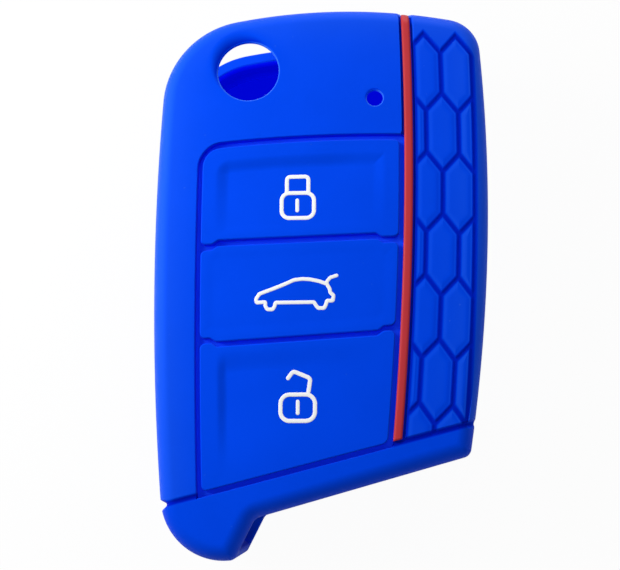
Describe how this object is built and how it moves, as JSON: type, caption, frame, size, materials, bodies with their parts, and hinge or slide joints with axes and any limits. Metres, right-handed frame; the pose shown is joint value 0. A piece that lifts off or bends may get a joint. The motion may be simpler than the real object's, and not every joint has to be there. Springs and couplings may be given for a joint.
{
  "type": "key fob cover",
  "caption": "Moulded silicone sleeve for a folding car key, with button pads on thin webs, a red accent strip, a honeycomb grip, a release hole, a blade slot and an open tail for the ring.",
  "frame": {"origin": "centre of the bounding box in X and Y, on the back face", "axes": "+X across the cover to the right as seen from the front, +Y along it towards the release hole, +Z out of the front face that carries the buttons"},
  "size_m": [0.0452, 0.0748, 0.019],
  "materials": {
    "blue_silicone": "satin",
    "blue_button_silicone": "satin",
    "red_silicone": "satin"
  },
  "bodies": {
    "cover": {"sleeve": "blue_silicone", "accent_strip": "red_silicone", "lock_button_web": "blue_silicone", "boot_button_web": "blue_silicone", "unlock_button_web": "blue_silicone"},
    "lock": {"lock_button": "blue_button_silicone"},
    "boot": {"boot_button": "blue_button_silicone"},
    "unlock": {"unlock_button": "blue_button_silicone"}
  },
  "joints": [
    {"name": "lock_press", "type": "slide", "parent": "cover", "child": "lock", "axis": [0, 0, -1], "range_m": [0, 0.0006], "stiffness_N_per_m": 3000},
    {"name": "boot_press", "type": "slide", "parent": "cover", "child": "boot", "axis": [0, 0, -1], "range_m": [0, 0.0006], "stiffness_N_per_m": 3000},
    {"name": "unlock_press", "type": "slide", "parent": "cover", "child": "unlock", "axis": [0, 0, -1], "range_m": [0, 0.0006], "stiffness_N_per_m": 3000}
  ]
}
